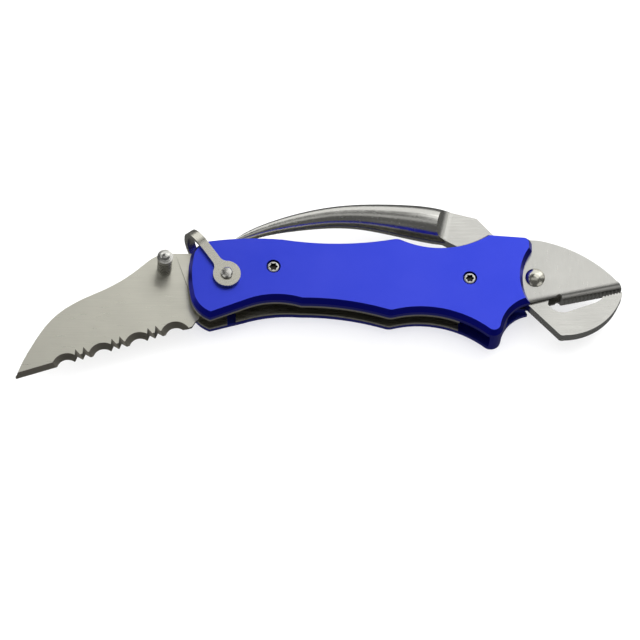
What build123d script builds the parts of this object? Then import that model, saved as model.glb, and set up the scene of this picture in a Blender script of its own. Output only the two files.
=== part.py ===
"""Rigging knife: folding serrated blade, marlinspike lever with shackle jaws, and lanyard bail.

The knife lies on its side. The origin is on the blade's pivot axis, halfway through the handle.
+X runs from the open blade towards the jaws, +Y towards the marlinspike, +Z out of the near scale.
"""

from build123d import *
from math import asin, atan2, cos, degrees, hypot, radians, sin
import os

os.makedirs("parts", exist_ok=True)

# Handle stack, as distances from the middle plane
GAP_HALF = 2.2  # free space between the liners, each side
LINER = 1.0  # liner sheet thickness
SCALE = 3.5  # aluminium scale thickness
LINER_OUT = GAP_HALF + LINER
FACE = LINER_OUT + SCALE
BEVEL_WIDTH = 1.0  # bevel round each scale, across the face
BEVEL_DEPTH = 2.0  # and down the side

# Blade
BLADE_HALF = 1.5  # half the blade's thickness
EDGE_HALF = 0.55  # half thickness just above the cutting bevel
EDGE_LAND = 0.12  # and at the edge itself
EDGE_ANGLE = 17.8  # slope of the cutting edge, degrees
HEEL = (-11.8, -13.8)  # back end of the cutting edge
TIP = (-59.2, -29.02)
TANG_R = 7.4
GRIND_HEIGHT = 24.0  # height of the flat grind above the edge
PLUNGE = -4.7  # where the grind starts, along the edge from the heel
BEVEL_RISE = 1.5  # height of the cutting bevel
SCALLOP_PITCH = 10.7  # one large scallop and two small notches repeat at this pitch
SCALLOP_START = 3.1  # middle of the first scallop, along the edge from the heel
SCALLOP_R = 3.1
SCALLOP_DEPTH = 1.3
SCALLOP_FLARE = 2.7  # how much wider the cutter is at its outer end
NOTCHES_BACK = (3.8, 6.15)  # middles of the two notches before each later scallop
NOTCH_HALF_WIDTH = 1.9
NOTCH_DEPTH = 1.2
NOTCH_FLARE = 3.2  # how much deeper the cutter is at its outer end
CUTTER = 1.0  # length of the serration cutters, from the middle plane

# Blade pivot and bail
BARREL_R = 2.4  # pivot pin between the scales
WASHER_R = 5.4
NECK_R = 1.5  # pivot pin through the scales and the bail's eyes
HEAD_R = 1.7
HEAD_FLAT_R = 1.3
RUNNING = 0.05  # radial clearance of a running fit
BAIL_IN = FACE + 0.2  # inner face of a bail leg
BAIL_THICK = 1.2
BAIL_OUT = BAIL_IN + BAIL_THICK
BAIL_EYE_R = 3.9
BAIL_WIDTH = 2.5
BAIL_NECK_R = 2.5  # fillet between strap and eye
BAIL_REACH = 19.0  # from the pivot axis to the outside of the bow
BAIL_ANGLE = 124.0  # direction of the bail at rest
BOW_THICK = 1.6
BOW_CORNER = 7.4
HEAD_TOP = BAIL_OUT + 1.1
HEAD_DOME = HEAD_TOP - 0.12  # where the slight dome starts

# Thumb stud
STUD = (-17.4, 4.4)
STUD_R = 2.1
STUD_FOOT = 1.38  # just above the ground face of the blade
STUD_TOP = 10.8
STUD_RIM_R = STUD_R + 0.15
STUD_DOME = STUD_TOP - 0.4  # where the dome starts
STUD_DOME_R = 1.4
STUD_HEAD = 0.9  # screw head behind the blade
STUD_BORE_R = 1.2
STUD_THREAD_R = 0.8

# Marlinspike lever and jaws
JAW_PIVOT = (88.0, 1.0)
LEVER_HALF = 1.9
RIVET_R = 2.0
RIVET_HEAD_R = 2.8
RIVET_DOME = LINER_OUT + 0.25  # where the dome starts
RIVET_TOP = LINER_OUT + 1.3
FOLD_R = 2.0  # bend of the upper jaw's sheet
HUB_R = 6.3

# Screws and pins
FRONT_SCREW = (13.3, 2.9)
TAIL_SCREW = (69.0, -0.7)
SCREW_HEAD_R = 1.83
COUNTERBORE_R = 2.05
COUNTERBORE_DEPTH = 1.5
SHANK_R = 1.0
STANDOFF_R = 2.2
STOP_PIN = (3.3, 9.0)
STOP_PIN_R = 1.2
SPACER_PINS = ((9.5, 10.7), (56.0, 8.6))
SPACER_PIN_R = 0.7
JAW_PINS = ((76.5, 2.0), (76.2, -3.9))
JAW_PIN_R = 1.2
JAW_PIN_SEAT = 1.5  # how far these pins reach into each scale

# Lock bar, a leaf of the far liner
BAR_ROOT_X = 42.0
BAR_END_X = 2.7
BAR_TOP_Y = -3.8
BAR_THICK = 0.9
BAR_LIFT = 0.5  # how far its free end leans towards the blade
BAR_SLOT = 0.4
ROOT_SLOT = 0.05
END_SLOT = 2.4
BALL_AT = (6.0, -6.0)
BALL_R = 0.5

# First finger groove, from the horn at the blade end: straight run, then an arc through its middle
NEAR_GROOVE = ((5.0, -8.6), (12.5, -6.8))
FAR_GROOVE = ((5.0, -9.7), (13.0, -8.0))


def cap_middle(radius, low, high):
    """Middle of the profile of a spherical cap that rises from low, at radius, to high on the axis."""
    sphere = (radius**2 + (high - low) ** 2) / (2 * (high - low))
    half_angle = asin(radius / sphere) / 2
    return (sphere * sin(half_angle), high - sphere + sphere * cos(half_angle))


def save(part, name):
    """Label a finished piece and write its file."""
    part.label = name
    export_step(part, f"parts/{name}.step")


def handle_outline(first_groove):
    """Outline shared by scales and liners; only the first finger groove differs."""
    with BuildSketch() as sketch:
        with BuildLine():
            ThreePointArc((-4.7, 11.7), (-8.4, 9.7), (-10.3, 5.6))
            ThreePointArc((-10.3, 5.6), (-10.8, 0.4), (-10.3, -5.0))
            ThreePointArc((-10.3, -5.0), (-8.6, -9.4), (-4.7, -12.3))
            Line((-4.7, -12.3), first_groove[0])
            ThreePointArc(*first_groove, (21.1, -7.9))
            ThreePointArc((21.1, -7.9), (33.0, -8.7), (45.0, -11.4))
            ThreePointArc((45.0, -11.4), (46.3, -11.65), (47.4, -11.5))
            ThreePointArc((47.4, -11.5), (60.0, -11.1), (73.6, -17.4))
            ThreePointArc((73.6, -17.4), (76.5, -17.6), (78.0, -15.8))
            ThreePointArc((78.0, -15.8), (80.6, -10.6), (86.0, -7.6))
            ThreePointArc((86.0, -7.6), (84.3, 0.8), (87.3, 8.6))
            Line((87.3, 8.6), (87.35, 10.8))
            ThreePointArc((87.35, 10.8), (86.65, 12.21), (85.3, 13.0))
            Line((85.3, 13.0), (74.9, 13.8))
            ThreePointArc((74.9, 13.8), (62.5, 9.7), (50.2, 12.15))
            ThreePointArc((50.2, 12.15), (49.0, 12.5), (47.6, 12.4))
            ThreePointArc((47.6, 12.4), (33.0, 11.0), (16.0, 12.3))
            ThreePointArc((16.0, 12.3), (6.0, 12.6), (-4.7, 11.7))
        make_face()
    return sketch.sketch


def torx(radius):
    """Six-lobed socket outline."""
    with BuildSketch() as sketch:
        Circle(radius * 0.8)
        with PolarLocations(radius * 0.78, 6):
            Circle(radius * 0.24)
    return sketch.sketch


def scale(first_groove):
    """Aluminium scale, inner face at LINER_OUT and outer face at FACE."""
    with BuildPart() as part:
        with BuildSketch(Plane.XY.offset(LINER_OUT)):
            add(handle_outline(first_groove))
        extrude(amount=SCALE - BEVEL_DEPTH)
        with BuildSketch(Plane.XY.offset(FACE - BEVEL_DEPTH)):
            add(handle_outline(first_groove))
        extrude(amount=BEVEL_DEPTH, taper=degrees(atan2(BEVEL_WIDTH, BEVEL_DEPTH)))
        with Locations((0, 0, FACE)):
            Hole(NECK_R)
        with Locations((*FRONT_SCREW, FACE), (*TAIL_SCREW, FACE)):
            CounterBoreHole(SHANK_R, COUNTERBORE_R, COUNTERBORE_DEPTH)
        with BuildSketch(Plane.XY.offset(LINER_OUT)):
            with Locations(*JAW_PINS):
                Circle(JAW_PIN_R)
        extrude(amount=JAW_PIN_SEAT, mode=Mode.SUBTRACT)
    return part.part


def liner(first_groove):
    """Liner sheet on the near side, with its tail cut back on the slant."""
    with BuildPart() as part:
        with BuildSketch(Plane.XY.offset(GAP_HALF)):
            add(handle_outline(first_groove))
            with BuildLine():
                Polyline((-20, -30), (-20, 30), (73, 30), (73, -5.8), (66.3, -8.0), (64.4, -30), close=True)
            make_face(mode=Mode.INTERSECT)
            Circle(BARREL_R, mode=Mode.SUBTRACT)
            with Locations(FRONT_SCREW, TAIL_SCREW):
                Circle(SHANK_R, mode=Mode.SUBTRACT)
            with Locations(STOP_PIN):
                Circle(STOP_PIN_R, mode=Mode.SUBTRACT)
            with Locations(*SPACER_PINS):
                Circle(SPACER_PIN_R, mode=Mode.SUBTRACT)
        extrude(amount=LINER)
    return part.part


def screw(end):
    """Recessed button screw whose shank runs from its head down to the height end."""
    head_bottom = FACE - COUNTERBORE_DEPTH
    head_top = FACE - 0.25
    with BuildPart() as part:
        with BuildSketch(Plane.XY.offset(head_bottom)):
            Circle(SCREW_HEAD_R)
        extrude(amount=head_top - head_bottom)
        fillet(part.edges().sort_by(Axis.Z)[-1], radius=0.5)
        with BuildSketch(Plane.XY.offset(head_top)):
            add(torx(1.2))
        extrude(amount=-1.0, mode=Mode.SUBTRACT)
        with BuildSketch(Plane.XY.offset(head_bottom)):
            Circle(SHANK_R)
        extrude(amount=end - head_bottom)
    return part.part


def bail_corners(points):
    """Corners where the bail's strap leaves the eye."""
    return [point for point in points if 3 < point.X < 4.5]


def ring(inner, outer, low, high):
    """Flat washer between two heights."""
    with BuildPart() as part:
        with BuildSketch(Plane.XY.offset(low)):
            Circle(outer)
            Circle(inner, mode=Mode.SUBTRACT)
        extrude(amount=high - low)
    return part.part


# Scales
near = scale(NEAR_GROOVE)
save(near, "near_scale")
far = mirror(scale(FAR_GROOVE), about=Plane.XY)
save(far, "far_scale")

# Liners
near_liner = liner(NEAR_GROOVE)
save(near_liner, "near_liner")

with BuildPart() as far_liner:
    add(mirror(liner(FAR_GROOVE), about=Plane.XY))
    with BuildSketch(Plane.XY.offset(-LINER_OUT)):
        with BuildLine():
            Polyline((BAR_END_X - END_SLOT, -30), (BAR_END_X - END_SLOT, BAR_TOP_Y + BAR_SLOT),
                     (BAR_ROOT_X + ROOT_SLOT, BAR_TOP_Y + BAR_SLOT), (BAR_ROOT_X + ROOT_SLOT, -30), close=True)
        make_face()
    extrude(amount=LINER, mode=Mode.SUBTRACT)
save(far_liner.part, "far_liner")

# Lock bar: its plan is cut from the liner's sheet, and it leans towards the blade
bar_low = -LINER_OUT + 0.1
with BuildPart() as lock_bar:
    with BuildSketch(Plane.XY.offset(-LINER_OUT)):
        add(handle_outline(FAR_GROOVE))
        with BuildLine():
            Polyline((BAR_END_X, -30), (BAR_END_X, BAR_TOP_Y), (BAR_ROOT_X, BAR_TOP_Y), (BAR_ROOT_X, -30),
                     close=True)
        make_face(mode=Mode.INTERSECT)
        Circle(WASHER_R + BAR_SLOT, mode=Mode.SUBTRACT)
        with Locations(BALL_AT):
            Circle(BALL_R + 0.02, mode=Mode.SUBTRACT)
    extrude(amount=3)
    with BuildSketch(Plane.XZ):
        with BuildLine():
            Polyline((BAR_ROOT_X + 1, bar_low), (BAR_ROOT_X + 1, bar_low + BAR_THICK),
                     (BAR_ROOT_X, bar_low + BAR_THICK), (BAR_END_X - 1, bar_low + BAR_THICK + BAR_LIFT),
                     (BAR_END_X - 1, bar_low + BAR_LIFT), (BAR_ROOT_X, bar_low), close=True)
        make_face()
    extrude(amount=30, both=True, mode=Mode.INTERSECT)
save(lock_bar.part, "lock_bar")

ball_lean = BAR_LIFT * (BAR_ROOT_X - BALL_AT[0]) / (BAR_ROOT_X - BAR_END_X)
ball_height = bar_low + BAR_THICK + ball_lean + 0.12 - BALL_R
with BuildPart() as detent_ball:
    with Locations((*BALL_AT, ball_height)):
        Sphere(BALL_R)
save(detent_ball.part, "detent_ball")

# Tail block: a wall between the scales, from the lower horn up the hollow of the tail
with BuildPart() as tail_block:
    with BuildSketch(Plane.XY.offset(-LINER_OUT)):
        add(handle_outline(NEAR_GROOVE))
        with BuildLine():
            Polyline((74.4, -30), (74.4, -17.0), (76.2, -12.4), (78.0, -8.0), (79.6, -6.8), (79.6, -30),
                     close=True)
        make_face(mode=Mode.INTERSECT)
    extrude(amount=2 * LINER_OUT)
save(tail_block.part, "tail_block")

# Back spacer, under the top edge of the handle and above the folded edge
with BuildPart() as back_spacer:
    with BuildSketch(Plane.XY.offset(-GAP_HALF)):
        with BuildLine():
            Spline((6.0, 11.9), (10.3, 12.1), (33.6, 10.6), (43.5, 11.1), (48.6, 11.7), (56.0, 9.9),
                   (62.0, 9.2))
            Polyline((62.0, 9.2), (62.0, 6.7), (6.0, 9.1), (6.0, 11.9))
        make_face()
        with Locations(*SPACER_PINS):
            Circle(SPACER_PIN_R, mode=Mode.SUBTRACT)
    extrude(amount=2 * GAP_HALF)
save(back_spacer.part, "back_spacer")

with BuildPart() as spacer_pins:
    with BuildSketch(Plane.XY.offset(-LINER_OUT)):
        with Locations(*SPACER_PINS):
            Circle(SPACER_PIN_R)
    extrude(amount=2 * LINER_OUT)
save(spacer_pins.part, "spacer_pins")

with BuildPart() as stop_pin:
    with BuildSketch(Plane.XY.offset(-LINER_OUT)):
        with Locations(STOP_PIN):
            Circle(STOP_PIN_R)
    extrude(amount=2 * LINER_OUT)
save(stop_pin.part, "stop_pin")

# Screws and the tail standoff
with BuildPart() as tail_standoff:
    with BuildSketch(Plane.XY.offset(-GAP_HALF)):
        with Locations(TAIL_SCREW):
            Circle(STANDOFF_R)
            Circle(SHANK_R, mode=Mode.SUBTRACT)
    extrude(amount=2 * GAP_HALF)
save(tail_standoff.part, "tail_standoff")

front_screw = Pos(*FRONT_SCREW, 0) * screw(GAP_HALF + 0.1)
save(front_screw, "near_front_screw")
save(mirror(front_screw, about=Plane.XY), "far_front_screw")
tail_screw = Pos(*TAIL_SCREW, 0) * screw(0.2)
save(tail_screw, "near_tail_screw")
save(mirror(tail_screw, about=Plane.XY), "far_tail_screw")

# Blade pivot pin, with peened heads outside the bail's eyes
with BuildPart() as blade_pivot_pin:
    with BuildSketch(Plane.XZ):
        with BuildLine():
            Polyline((0, 0), (BARREL_R, 0), (BARREL_R, LINER_OUT), (NECK_R, LINER_OUT),
                     (NECK_R, BAIL_OUT + RUNNING), (HEAD_R, BAIL_OUT + RUNNING), (HEAD_R, HEAD_TOP - 0.45),
                     (HEAD_FLAT_R, HEAD_DOME))
            ThreePointArc((HEAD_FLAT_R, HEAD_DOME), cap_middle(HEAD_FLAT_R, HEAD_DOME, HEAD_TOP),
                          (0, HEAD_TOP))
            Line((0, HEAD_TOP), (0, 0))
        make_face()
    revolve(axis=Axis.Z)
    mirror(about=Plane.XY)
save(blade_pivot_pin.part, "blade_pivot_pin")

washer_low = BLADE_HALF + RUNNING
near_washer = ring(BARREL_R + RUNNING, WASHER_R, washer_low, GAP_HALF - RUNNING)
save(near_washer, "near_pivot_washer")
save(mirror(near_washer, about=Plane.XY), "far_pivot_washer")

# Blade, open, with the edge down
edge_dir = Vector(-cos(radians(EDGE_ANGLE)), -sin(radians(EDGE_ANGLE)), 0)
edge_up = Vector(-sin(radians(EDGE_ANGLE)), cos(radians(EDGE_ANGLE)), 0)


def on_edge(along, up):
    """Point at a distance along the cutting edge from its heel, and a height above it."""
    point = Vector(*HEEL) + edge_dir * along + edge_up * up
    return (point.X, point.Y)


with BuildPart() as blade:
    with BuildSketch():
        with BuildLine():
            Spline((-15.9, 9.3), (-18.3, 9.1), (-20.6, 8.0), (-24.9, 4.5), (-33.2, -1.2), (-41.9, -5.5),
                   (-49.5, -11.3), (-54.6, -18.7), (-57.1, -23.3), (-59.1, -28.1))
            ThreePointArc((-59.1, -28.1), (-59.4, -28.7), TIP)
            Polyline(TIP, HEEL, (-9.8, -13.1), (-8.8, -11.5), (-7.0, -10.1), (-1.5, -9.2), (-1.2, -7.3))
            ThreePointArc((-1.2, -7.3), (TANG_R, 0), (1.4, 7.27))
            Polyline((1.4, 7.27), (1.7, 9.3), (-15.9, 9.3))
        make_face()
        Circle(BARREL_R + RUNNING, mode=Mode.SUBTRACT)
        with Locations(STUD):
            Circle(STUD_BORE_R, mode=Mode.SUBTRACT)
    extrude(amount=BLADE_HALF, both=True)
    grind = (PLUNGE, GRIND_HEIGHT, BLADE_HALF, EDGE_HALF)
    cutting_bevel = (0.6, BEVEL_RISE, EDGE_HALF + 0.06, EDGE_LAND)
    for start, rise, half_above, half_below in (grind, cutting_bevel):
        with BuildSketch(Plane(origin=Vector(*HEEL) + edge_dir * start, x_dir=edge_up, z_dir=edge_dir)):
            for side in (1, -1):
                with BuildLine():
                    Polyline((rise, side * half_above), (0, side * half_below), (-6, side * half_below),
                             (-6, side * 3), (rise, side * 3), close=True)
                make_face()
        extrude(amount=70, mode=Mode.SUBTRACT)
    # Serrations are cut from each side by cutters that widen away from the middle plane
    for repeat in range(4):
        middle = SCALLOP_START + SCALLOP_PITCH * repeat
        for side in (1, -1):
            with Locations((*on_edge(middle, SCALLOP_DEPTH - SCALLOP_R), side * CUTTER / 2)):
                Cone(SCALLOP_R, SCALLOP_R + SCALLOP_FLARE, CUTTER, rotation=(90 - 90 * side, 0, 0),
                     mode=Mode.SUBTRACT)
    for repeat in range(1, 4):
        for back in NOTCHES_BACK:
            middle = SCALLOP_START + SCALLOP_PITCH * repeat - back
            for side in (1, -1):
                for flare in (0, 1):
                    half_width = NOTCH_HALF_WIDTH + 0.3 * flare
                    with BuildSketch(Plane.XY.offset(side * flare * CUTTER)):
                        with BuildLine():
                            Polyline(on_edge(middle - half_width, -1.0),
                                     on_edge(middle, NOTCH_DEPTH + NOTCH_FLARE * flare),
                                     on_edge(middle + half_width, -1.0), close=True)
                        make_face()
                loft(mode=Mode.SUBTRACT)
save(blade.part, "blade")

# Thumb stud on the near side, ribbed, and its screw on the far side
with BuildPart() as thumb_stud:
    with BuildSketch(Plane.XZ):
        with BuildLine():
            Polyline((0, STUD_FOOT), (STUD_R, STUD_FOOT), (STUD_R, STUD_TOP - 1.9),
                     (STUD_RIM_R, STUD_TOP - 1.8), (STUD_RIM_R, STUD_TOP - 1.1), (1.75, STUD_TOP - 1.0),
                     (1.75, STUD_TOP - 0.7), (STUD_DOME_R, STUD_TOP - 0.65), (STUD_DOME_R, STUD_DOME))
            ThreePointArc((STUD_DOME_R, STUD_DOME), cap_middle(STUD_DOME_R, STUD_DOME, STUD_TOP),
                          (0, STUD_TOP))
            Line((0, STUD_TOP), (0, STUD_FOOT))
        make_face()
        with Locations(*[(STUD_R, STUD_FOOT + 1.3 + 0.95 * rib) for rib in range(6)]):
            Rectangle(0.5, 0.4, mode=Mode.SUBTRACT)
    revolve(axis=Axis.Z)
    with BuildSketch(Plane.XY.offset(STUD_FOOT)):
        Circle(STUD_THREAD_R)
    extrude(amount=3, mode=Mode.SUBTRACT)
stud = Pos(*STUD, 0) * thumb_stud.part
save(stud, "thumb_stud")

with BuildPart() as stud_screw:
    with BuildSketch(Plane.XY.offset(-STUD_FOOT)):
        Circle(1.8)
    extrude(amount=-STUD_HEAD)
    fillet(stud_screw.edges().sort_by(Axis.Z)[0], radius=0.4)
    with BuildSketch(Plane.XY.offset(-STUD_FOOT - STUD_HEAD)):
        add(torx(0.9))
    extrude(amount=0.6, mode=Mode.SUBTRACT)
    with BuildSketch(Plane.XY.offset(-STUD_FOOT)):
        Circle(STUD_BORE_R)
    extrude(amount=2 * STUD_FOOT)
    with BuildSketch(Plane.XY.offset(STUD_FOOT)):
        Circle(STUD_THREAD_R)
    extrude(amount=2.6)
save(Pos(*STUD, 0) * stud_screw.part, "thumb_stud_screw")

# Bail: a flat strap bent over the handle, drawn along +X and turned to its rest direction
with BuildPart() as bail:
    with BuildSketch(Plane.XZ):
        with BuildLine():
            FilletPolyline((0, BAIL_OUT), (BAIL_REACH, BAIL_OUT), (BAIL_REACH, -BAIL_OUT), (0, -BAIL_OUT),
                           radius=BOW_CORNER)
            FilletPolyline((0, BAIL_IN), (BAIL_REACH - BOW_THICK, BAIL_IN),
                           (BAIL_REACH - BOW_THICK, -BAIL_IN), (0, -BAIL_IN), radius=BOW_CORNER - BAIL_THICK)
            Line((0, BAIL_OUT), (0, BAIL_IN))
            Line((0, -BAIL_OUT), (0, -BAIL_IN))
        make_face()
    extrude(amount=BAIL_WIDTH / 2, both=True)
    for low in (BAIL_IN, -BAIL_OUT):
        with BuildSketch(Plane.XY.offset(low)):
            Circle(BAIL_EYE_R)
            with Locations((5, 0)):
                Rectangle(10, BAIL_WIDTH)
            fillet(bail_corners(vertices()), radius=BAIL_NECK_R)
        extrude(amount=BAIL_THICK)
    Cylinder(NECK_R + RUNNING, 40, mode=Mode.SUBTRACT)
save(Rot(0, 0, BAIL_ANGLE) * bail.part, "bail")

# Marlinspike lever: round spike, flat tang, pivot hub and lower jaw in one piece
# Each section of the spike: centre X, centre Y, radius
SPIKE = ((3.4, 14.3, 0.6), (5.6, 15.2, 1.15), (9.7, 16.9, 1.6), (21.3, 20.1, 2.5), (32.8, 21.7, 3.2),
         (44.4, 21.3, 4.1), (53.4, 20.1, 4.9), (60.5, 18.8, 5.1), (66.5, 17.5, 4.2))
# Where the round spike is cut down to the flat tang
RUN_OUT_START = (60.8, 18.8)
RUN_OUT_LENGTH = 3.8
RUN_OUT_DIR = Vector(1, -0.25, 0)
with BuildPart() as marlinspike_lever:
    for index, (x, y, radius) in enumerate(SPIKE):
        before = SPIKE[max(index - 1, 0)]
        after = SPIKE[min(index + 1, len(SPIKE) - 1)]
        along = Vector(after[0] - before[0], after[1] - before[1], 0)
        with BuildSketch(Plane(origin=(x, y, 0), x_dir=(0, 0, 1), z_dir=along)):
            Circle(radius)
    loft()
    with BuildSketch(Plane(origin=(*RUN_OUT_START, 0), x_dir=RUN_OUT_DIR, z_dir=(0.25, 1, 0))):
        for side in (1, -1):
            with BuildLine():
                ThreePointArc((0, side * 5.1), (1.6, side * 2.58), (RUN_OUT_LENGTH, side * LEVER_HALF))
                Polyline((RUN_OUT_LENGTH, side * LEVER_HALF), (10, side * LEVER_HALF), (10, side * 8),
                         (-0.6, side * 8), (0, side * 5.1))
            make_face()
    extrude(amount=9, both=True, mode=Mode.SUBTRACT)
    with BuildSketch(Plane.XY.offset(-LEVER_HALF)):
        with BuildLine():
            Polyline((63.0, 22.8), (60.8, 14.6), (66.4, 11.4), (79.6, 4.0), (81.9, -1.6), (84.6, -5.6),
                     (86.3, -7.5), (94.4, -16.2))
            ThreePointArc((94.4, -16.2), (95.2, -16.5), (95.9, -16.4))
            ThreePointArc((95.9, -16.4), (107.2, -12.2), (112.2, -5.4))
            ThreePointArc((112.2, -5.4), (112.8, -4.2), (112.9, -2.8))
            Line((112.9, -2.8), (107.4, -4.2))
            ThreePointArc((107.4, -4.2), (106.6, -5.2), (105.1, -6.2))
            Line((105.1, -6.2), (97.7, -8.8))
            ThreePointArc((97.7, -8.8), (94.2, -9.0), (91.4, -6.7))
            Polyline((91.4, -6.7), (92.2, -3.8), (94.0, 2.6), (91.0, 6.6), (80.6, 12.2), (76.8, 15.0),
                     (72.3, 20.3), (63.0, 22.8))
        make_face()
        with Locations(JAW_PIVOT):
            Circle(HUB_R)
            Circle(RIVET_R + RUNNING, mode=Mode.SUBTRACT)
    extrude(amount=2 * LEVER_HALF)
    lower_teeth = [(107.9 + 0.85 * tooth, -4.07 + 0.227 * tooth) for tooth in range(6)]
    with BuildSketch(Plane.XY.offset(-LEVER_HALF)):
        with Locations(*lower_teeth):
            Rectangle(0.45, 0.6, rotation=45)
    extrude(amount=2 * LEVER_HALF, mode=Mode.SUBTRACT)
save(marlinspike_lever.part, "marlinspike_lever")

# Upper jaw: sheet folded into a channel, whose web is the toothed jaw face
JAW_FACE = ((95.9, -5.5), (112.8, -2.0))
face_length = hypot(JAW_FACE[1][0] - JAW_FACE[0][0], JAW_FACE[1][1] - JAW_FACE[0][1])
face_slope = degrees(atan2(JAW_FACE[1][1] - JAW_FACE[0][1], JAW_FACE[1][0] - JAW_FACE[0][0]))
with BuildPart() as upper_jaw:
    with BuildSketch(Plane.XY.offset(-LINER_OUT)):
        with BuildLine():
            Polyline((73.4, 11.9), (87.1, 12.9), (89.3, 12.8))
            ThreePointArc((89.3, 12.8), (100.3, 8.9), (111.2, 0.2))
            ThreePointArc((111.2, 0.2), (112.2, -0.8), JAW_FACE[1])
            Polyline(JAW_FACE[1], JAW_FACE[0], (95.4, -4.9))
            ThreePointArc((95.4, -4.9), (94.8, -4.1), (94.0, -4.6))
            Polyline((94.0, -4.6), (86.6, -6.6), (79.9, -6.1), (73.4, -5.4), (73.4, 11.9))
        make_face()
    extrude(amount=2 * LINER_OUT)
    face_edges = upper_jaw.edges().filter_by(lambda edge: abs(edge.length - face_length) < 0.01)
    fillet(face_edges.sort_by(Axis.Y)[:2], radius=FOLD_R)
    with BuildSketch(Plane.XY.offset(-GAP_HALF)):
        with BuildLine():
            Polyline((60, 20), (60, -20), (93.2, -20), (95.0, -4.4), (114.5, -0.55), (114.5, 20),
                     close=True)
        make_face()
    extrude(amount=2 * GAP_HALF, mode=Mode.SUBTRACT)
    with BuildSketch(Plane.XY.offset(-LINER_OUT)):
        with Locations(JAW_PIVOT):
            Circle(RIVET_R)
        with Locations(*JAW_PINS):
            Circle(JAW_PIN_R)
    extrude(amount=2 * LINER_OUT, mode=Mode.SUBTRACT)
    teeth = 15
    with BuildSketch(Plane.XY.offset(-GAP_HALF)):
        for tooth in range(teeth):
            share = (tooth + 0.6) / teeth
            with Locations((JAW_FACE[0][0] + share * (JAW_FACE[1][0] - JAW_FACE[0][0]),
                            JAW_FACE[0][1] + share * (JAW_FACE[1][1] - JAW_FACE[0][1]))):
                Rectangle(0.5, 0.5, rotation=45 + face_slope)
    extrude(amount=2 * GAP_HALF, mode=Mode.SUBTRACT)
save(upper_jaw.part, "upper_jaw")

with BuildPart() as upper_jaw_pins:
    with BuildSketch(Plane.XY.offset(-LINER_OUT - JAW_PIN_SEAT)):
        with Locations(*JAW_PINS):
            Circle(JAW_PIN_R)
    extrude(amount=2 * (LINER_OUT + JAW_PIN_SEAT))
save(upper_jaw_pins.part, "upper_jaw_pins")

with BuildPart() as jaw_rivet:
    with BuildSketch(Plane.XZ):
        with BuildLine():
            Polyline((0, 0), (RIVET_R, 0), (RIVET_R, LINER_OUT), (RIVET_HEAD_R, LINER_OUT),
                     (RIVET_HEAD_R, RIVET_DOME))
            ThreePointArc((RIVET_HEAD_R, RIVET_DOME), cap_middle(RIVET_HEAD_R, RIVET_DOME, RIVET_TOP),
                          (0, RIVET_TOP))
            Line((0, RIVET_TOP), (0, 0))
        make_face()
    revolve(axis=Axis.Z)
    mirror(about=Plane.XY)
save(Pos(*JAW_PIVOT, 0) * jaw_rivet.part, "jaw_rivet")

jaw_washer = Pos(*JAW_PIVOT, 0) * ring(RIVET_R + RUNNING, 4.5, LEVER_HALF + RUNNING, GAP_HALF - RUNNING)
save(jaw_washer, "near_jaw_washer")
save(mirror(jaw_washer, about=Plane.XY), "far_jaw_washer")
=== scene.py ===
"""Looks of the rigging knife: procedural metals, a pale floor, studio light and the photograph's view."""

import bpy
from math import cos, radians, sin
from mathutils import Matrix, Vector


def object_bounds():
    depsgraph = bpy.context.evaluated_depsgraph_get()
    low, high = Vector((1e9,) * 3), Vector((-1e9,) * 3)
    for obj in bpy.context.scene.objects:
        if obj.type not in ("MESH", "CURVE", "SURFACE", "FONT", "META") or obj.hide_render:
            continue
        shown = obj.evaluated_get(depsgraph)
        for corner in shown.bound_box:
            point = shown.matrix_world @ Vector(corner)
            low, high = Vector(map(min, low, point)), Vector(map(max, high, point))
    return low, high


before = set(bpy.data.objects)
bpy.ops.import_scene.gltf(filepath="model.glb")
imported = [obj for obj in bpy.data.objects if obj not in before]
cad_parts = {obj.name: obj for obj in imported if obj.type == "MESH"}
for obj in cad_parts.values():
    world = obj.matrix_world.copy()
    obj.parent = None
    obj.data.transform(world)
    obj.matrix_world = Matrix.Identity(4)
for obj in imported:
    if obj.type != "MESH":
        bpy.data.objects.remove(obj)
cad_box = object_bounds()

# Camera: direction from the knife, angle from the vertical, and the frame's scale
VIEW_TILT = radians(25.2)
VIEW_SIDE = radians(8.0)
VIEW_DISTANCE = 1.122
VIEW_LENS = 222.7
VIEW_TARGET = Vector((0.0265, -0.0108, 0.0))
SENSOR_WIDTH = 36.0
FLOOR_CLEARANCE = 0.0002
FLOOR_HALF_WIDTH = 3.0
WORLD_STRENGTH = 0.14

# Brush scales: marks run along the axis with the least
EVEN = (1, 1, 1)
ALONG_X = (0.03, 1, 1)
ACROSS = (1, 0.12, 1)
TURNED = (0.2, 0.2, 1)

# Noise scales: brushed marks, grain of the anodising, paper fibres, and slow changes of tone
BRUSH_SCALE = 3200.0
GRAIN_SCALE = 5200.0
FIBRE_SCALE = 300.0
STEEL_CLOUD_SCALE = 90.0
BLUE_CLOUD_SCALE = 60.0
NOISE_RANGE = (0.3, 0.7)  # where most of a noise factor lies
BRUSH_DEPTH = 0.00003
GRAIN_DEPTH = 0.00002
BLUE_ROUGHNESS = (0.3, 0.42)

# How much of a surface's normal is along Z, from bevel to flat face; painted shade on the bevels fades out
# over this range
BLADE_BEVEL_SHADE_RAMP = (0.955, 0.99)
SCALE_BEVEL_SHADE_RAMP = (0.75, 0.97)

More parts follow.
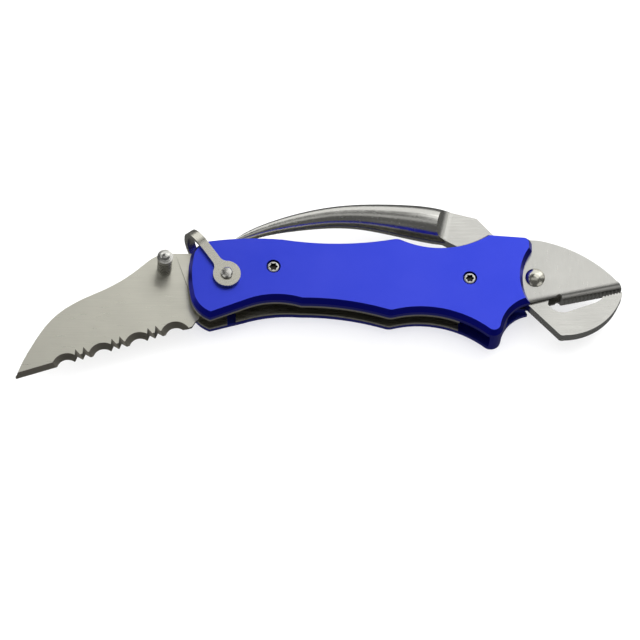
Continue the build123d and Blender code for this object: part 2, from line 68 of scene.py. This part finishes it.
# Colours, linear
BLUE_FACE = (0.040, 0.066, 0.70, 1)
BLUE_FACE_LIGHT = (0.068, 0.092, 0.76, 1)
# painted shade: the dark blue of the scales' bevels, standing in for the dark surroundings they mirror
BLUE_BEVEL_PAINTED_SHADE = (0.012, 0.016, 0.45, 1)
STEEL_WARM = (0.60, 0.585, 0.51, 1)
STEEL_BRIGHT = (0.57, 0.565, 0.53, 1)
# painted shade: the dark inside of a screw's socket
SOCKET_PAINTED_SHADE = (0.03, 0.027, 0.025, 1)
SOCKET_SHADE_HEIGHTS = (0.00605, 0.0063)  # heights over which painted shade darkens a screw's socket
BLADE_STEEL = (0.80, 0.785, 0.68, 1)
# painted shade: the dark colour of the blade's cutting bevel and serrations
BLADE_BEVEL_PAINTED_SHADE = (0.17, 0.16, 0.135, 1)
BRONZE = (0.55, 0.36, 0.18, 1)
FLOOR = (0.93, 0.93, 0.93, 1)


def new_material(name):
    """Material with a node tree holding only a Principled shader and its output."""
    material = bpy.data.materials.new(name)
    material.use_nodes = True
    nodes = material.node_tree.nodes
    nodes.clear()
    shader = nodes.new("ShaderNodeBsdfPrincipled")
    output = nodes.new("ShaderNodeOutputMaterial")
    material.node_tree.links.new(shader.outputs["BSDF"], output.inputs["Surface"])
    return material, shader


def stretched_coordinates(material, scale):
    """Object coordinates multiplied by a scale along each axis, for brushed or turned marks."""
    tree = material.node_tree
    coordinates = tree.nodes.new("ShaderNodeTexCoord")
    mapping = tree.nodes.new("ShaderNodeMapping")
    mapping.inputs["Scale"].default_value = scale
    tree.links.new(coordinates.outputs["Object"], mapping.inputs["Vector"])
    return mapping.outputs["Vector"]


def noise(material, vector, scale, detail):
    """Noise texture's factor on given coordinates."""
    texture = material.node_tree.nodes.new("ShaderNodeTexNoise")
    texture.inputs["Scale"].default_value = scale
    texture.inputs["Detail"].default_value = detail
    material.node_tree.links.new(vector, texture.inputs["Vector"])
    return texture.outputs["Fac"]


def remap(material, value, low, high):
    """Noise factor spread over low to high."""
    node = material.node_tree.nodes.new("ShaderNodeMapRange")
    node.inputs["From Min"].default_value, node.inputs["From Max"].default_value = NOISE_RANGE
    node.inputs["To Min"].default_value = low
    node.inputs["To Max"].default_value = high
    material.node_tree.links.new(value, node.inputs["Value"])
    return node.outputs["Result"]


def mix_colours(material, factor, first, second):
    """Colour between two colours or colour sockets."""
    node = material.node_tree.nodes.new("ShaderNodeMix")
    node.data_type = "RGBA"
    material.node_tree.links.new(factor, node.inputs["Factor"])
    for socket, colour in ((node.inputs["A"], first), (node.inputs["B"], second)):
        if isinstance(colour, tuple):
            socket.default_value = colour
        else:
            material.node_tree.links.new(colour, socket)
    return node.outputs["Result"]


def add_bump(material, shader, height, strength, distance):
    """Surface relief from a height."""
    node = material.node_tree.nodes.new("ShaderNodeBump")
    node.inputs["Strength"].default_value = strength
    node.inputs["Distance"].default_value = distance
    material.node_tree.links.new(height, node.inputs["Height"])
    material.node_tree.links.new(node.outputs["Normal"], shader.inputs["Normal"])


def shaded(colour, factor):
    """Colour made darker by a factor."""
    return tuple(factor * c for c in colour[:3]) + (1,)


def steel(name, colour, roughness, brush=EVEN, spread=0.08, relief=0.12, contrast=0.25):
    """Steel with brushed or turned marks along the axis of least brush scale, and slow variation in tone."""
    material, shader = new_material(name)
    shader.inputs["Metallic"].default_value = 1.0
    marks = noise(material, stretched_coordinates(material, brush), BRUSH_SCALE, detail=4.0)
    clouds = noise(material, stretched_coordinates(material, EVEN), STEEL_CLOUD_SCALE, detail=3.0)
    tone = mix_colours(material, clouds, shaded(colour, 0.8), colour)
    streak = mix_colours(material, remap(material, marks, 0.0, contrast), tone, shaded(colour, 0.72))
    material.node_tree.links.new(streak, shader.inputs["Base Color"])
    material.node_tree.links.new(
        remap(material, marks, roughness - spread, roughness + spread), shader.inputs["Roughness"]
    )
    add_bump(material, shader, marks, strength=relief, distance=BRUSH_DEPTH)
    return material


def ramp_along_z(material, source, low, high):
    """Zero to one as the size of a coordinate's Z goes from low to high."""
    tree = material.node_tree
    coordinates = tree.nodes.new("ShaderNodeTexCoord")
    split = tree.nodes.new("ShaderNodeSeparateXYZ")
    size = tree.nodes.new("ShaderNodeMath")
    size.operation = "ABSOLUTE"
    ramp = tree.nodes.new("ShaderNodeMapRange")
    ramp.inputs["From Min"].default_value = low
    ramp.inputs["From Max"].default_value = high
    tree.links.new(coordinates.outputs[source], split.inputs["Vector"])
    tree.links.new(split.outputs["Z"], size.inputs[0])
    tree.links.new(size.outputs["Value"], ramp.inputs["Value"])
    return ramp.outputs["Result"]


def recolour(material, factor, colour):
    """Give a material a second colour where a factor is zero."""
    shader = material.node_tree.nodes["Principled BSDF"]
    present = shader.inputs["Base Color"].links[0].from_socket
    mixed = mix_colours(material, factor, colour, present)
    material.node_tree.links.new(mixed, shader.inputs["Base Color"])
    return material


def blade_steel():
    """Satin blade steel, with painted shade darkening the cutting bevel and serrations."""
    material = steel("blade_steel", BLADE_STEEL, roughness=0.32, brush=ALONG_X, spread=0.05, relief=0.04)
    # painted shade: the cutting bevel and serrations take the dark colour
    flat = ramp_along_z(material, "Normal", *BLADE_BEVEL_SHADE_RAMP)
    return recolour(material, flat, BLADE_BEVEL_PAINTED_SHADE)


def screw_steel():
    """Turned steel, with painted shade darkening the inside of its socket."""
    material = steel("screw_steel", STEEL_BRIGHT, roughness=0.24)
    # painted shade: the socket below these heights takes the dark colour
    outer = ramp_along_z(material, "Object", *SOCKET_SHADE_HEIGHTS)
    return recolour(material, outer, SOCKET_PAINTED_SHADE)


def anodised():
    """Blue anodised aluminium: satin faces, with bevels darkened by painted shade."""
    material, shader = new_material("blue_anodised")
    shader.inputs["Metallic"].default_value = 1.0
    fine = noise(material, stretched_coordinates(material, EVEN), GRAIN_SCALE, detail=5.0)
    clouds = noise(material, stretched_coordinates(material, EVEN), BLUE_CLOUD_SCALE, detail=6.0)
    face = mix_colours(material, clouds, BLUE_FACE, BLUE_FACE_LIGHT)
    material.node_tree.links.new(face, shader.inputs["Base Color"])
    roughness = remap(material, fine, *BLUE_ROUGHNESS)
    material.node_tree.links.new(roughness, shader.inputs["Roughness"])
    add_bump(material, shader, fine, strength=0.25, distance=GRAIN_DEPTH)
    # painted shade: the bevels take the darker blue
    flat = ramp_along_z(material, "Normal", *SCALE_BEVEL_SHADE_RAMP)
    return recolour(material, flat, BLUE_BEVEL_PAINTED_SHADE)


def floor_material():
    """Matt pale paper."""
    material, shader = new_material("pale_floor")
    fibres = noise(material, stretched_coordinates(material, EVEN), FIBRE_SCALE, detail=4.0)
    tone = mix_colours(material, fibres, FLOOR, shaded(FLOOR, 0.98))
    material.node_tree.links.new(tone, shader.inputs["Base Color"])
    shader.inputs["Roughness"].default_value = 0.9
    shader.inputs["Specular IOR Level"].default_value = 0.1
    return material


liner = steel("liner_steel", STEEL_WARM, roughness=0.3, brush=ALONG_X)
turned = steel("turned_steel", STEEL_BRIGHT, roughness=0.22, brush=TURNED)
looks = {
    "near_scale": anodised(),
    "near_liner": liner,
    "lock_bar": liner,
    "back_spacer": liner,
    "blade": blade_steel(),
    "marlinspike_lever": steel(
        "polished_steel", STEEL_BRIGHT, roughness=0.24, brush=ALONG_X, spread=0.04, relief=0.04
    ),
    "upper_jaw": steel(
        "jaw_steel", STEEL_BRIGHT, roughness=0.3, brush=ACROSS, spread=0.03, relief=0.02, contrast=0.12
    ),
    "bail": steel("bail_steel", STEEL_WARM, roughness=0.28, spread=0.05, relief=0.04),
    "near_front_screw": screw_steel(),
    "jaw_rivet": steel("rivet_steel", STEEL_WARM, roughness=0.2, spread=0.05, relief=0.06),
    "near_pivot_washer": steel("bronze", BRONZE, roughness=0.3),
}
for follower, leader in (
    ("far_front_screw", "near_front_screw"),
    ("near_tail_screw", "near_front_screw"),
    ("far_tail_screw", "near_front_screw"),
    ("far_scale", "near_scale"),
    ("tail_block", "near_scale"),
    ("far_liner", "near_liner"),
    ("far_pivot_washer", "near_pivot_washer"),
    ("near_jaw_washer", "near_pivot_washer"),
    ("far_jaw_washer", "near_pivot_washer"),
):
    looks[follower] = looks[leader]
for name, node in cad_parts.items():
    node.data.materials.clear()
    node.data.materials.append(looks.get(name, turned))

# Floor
floor_height = cad_box[0][2] - FLOOR_CLEARANCE
corners = [
    (x * FLOOR_HALF_WIDTH, y * FLOOR_HALF_WIDTH, floor_height)
    for x, y in ((-1, -1), (1, -1), (1, 1), (-1, 1))
]
floor_mesh = bpy.data.meshes.new("floor")
floor_mesh.from_pydata(corners, [], [(0, 1, 2, 3)])
floor = bpy.data.objects.new("floor", floor_mesh)
floor.data.materials.append(floor_material())
floor.visible_glossy = False
bpy.context.scene.collection.objects.link(floor)


def area_light(name, direction, distance, size, power, glossy=True):
    """Rectangular soft light aimed at the knife: distance and size in metres, power in watts."""
    data = bpy.data.lights.new(name, "AREA")
    data.shape = "RECTANGLE"
    data.size, data.size_y = size
    data.energy = power
    light = bpy.data.objects.new(name, data)
    towards = Vector(direction).normalized()
    light.location = VIEW_TARGET + towards * distance
    light.rotation_euler = towards.to_track_quat("Z", "Y").to_euler()
    light.visible_glossy = glossy
    bpy.context.scene.collection.objects.link(light)
    return light


# Panels that the faces mirror in the photograph's view and from the other sides
area_light("softbox", (0.40, 0.56, 1.0), distance=1.5, size=(1.0, 0.9), power=3.6)
overhead_fill = area_light(
    "overhead_fill", (0, -0.1, 1.0), distance=2.5, size=(4.0, 4.0), power=100, glossy=False
)
overhead_fill.data.use_shadow = False  # fills the floor evenly, without a second shadow
area_light("side_strip", (-1.0, 0.1, 0.5), distance=1.2, size=(0.25, 1.2), power=0.8)
area_light("back_panel", (0.1, 1.0, 0.42), distance=1.2, size=(2.2, 1.0), power=8.5)
area_light("top_panel", (0.0, 0.02, 1.0), distance=1.5, size=(1.3, 0.55), power=1.2)
for side, (x, y) in enumerate(((1, 0.8), (1, -0.8), (-1, -0.8), (-1, 0.8))):
    area_light(f"corner_panel_{side}", (x, y, 0.6), distance=1.4, size=(1.0, 1.0), power=2.4)

world = bpy.data.worlds.new("studio")
world.use_nodes = True
world.node_tree.nodes["Background"].inputs["Color"].default_value = (1, 1, 1, 1)
world.node_tree.nodes["Background"].inputs["Strength"].default_value = WORLD_STRENGTH
bpy.context.scene.world = world
bpy.context.scene.view_settings.view_transform = "Standard"

# Camera
outward = Vector(
    (-sin(VIEW_TILT) * sin(VIEW_SIDE), -sin(VIEW_TILT) * cos(VIEW_SIDE), cos(VIEW_TILT))
)
right = (Vector((1, 0, 0)) - outward * outward.x).normalized()
upward = outward.cross(right)
camera_data = bpy.data.cameras.new("camera")
camera_data.lens = VIEW_LENS
camera_data.sensor_width = SENSOR_WIDTH
camera = bpy.data.objects.new("camera", camera_data)
place = Matrix((right, upward, outward)).transposed().to_4x4()
place.translation = VIEW_TARGET + outward * VIEW_DISTANCE
camera.matrix_world = place
bpy.context.scene.collection.objects.link(camera)
bpy.context.scene.camera = camera
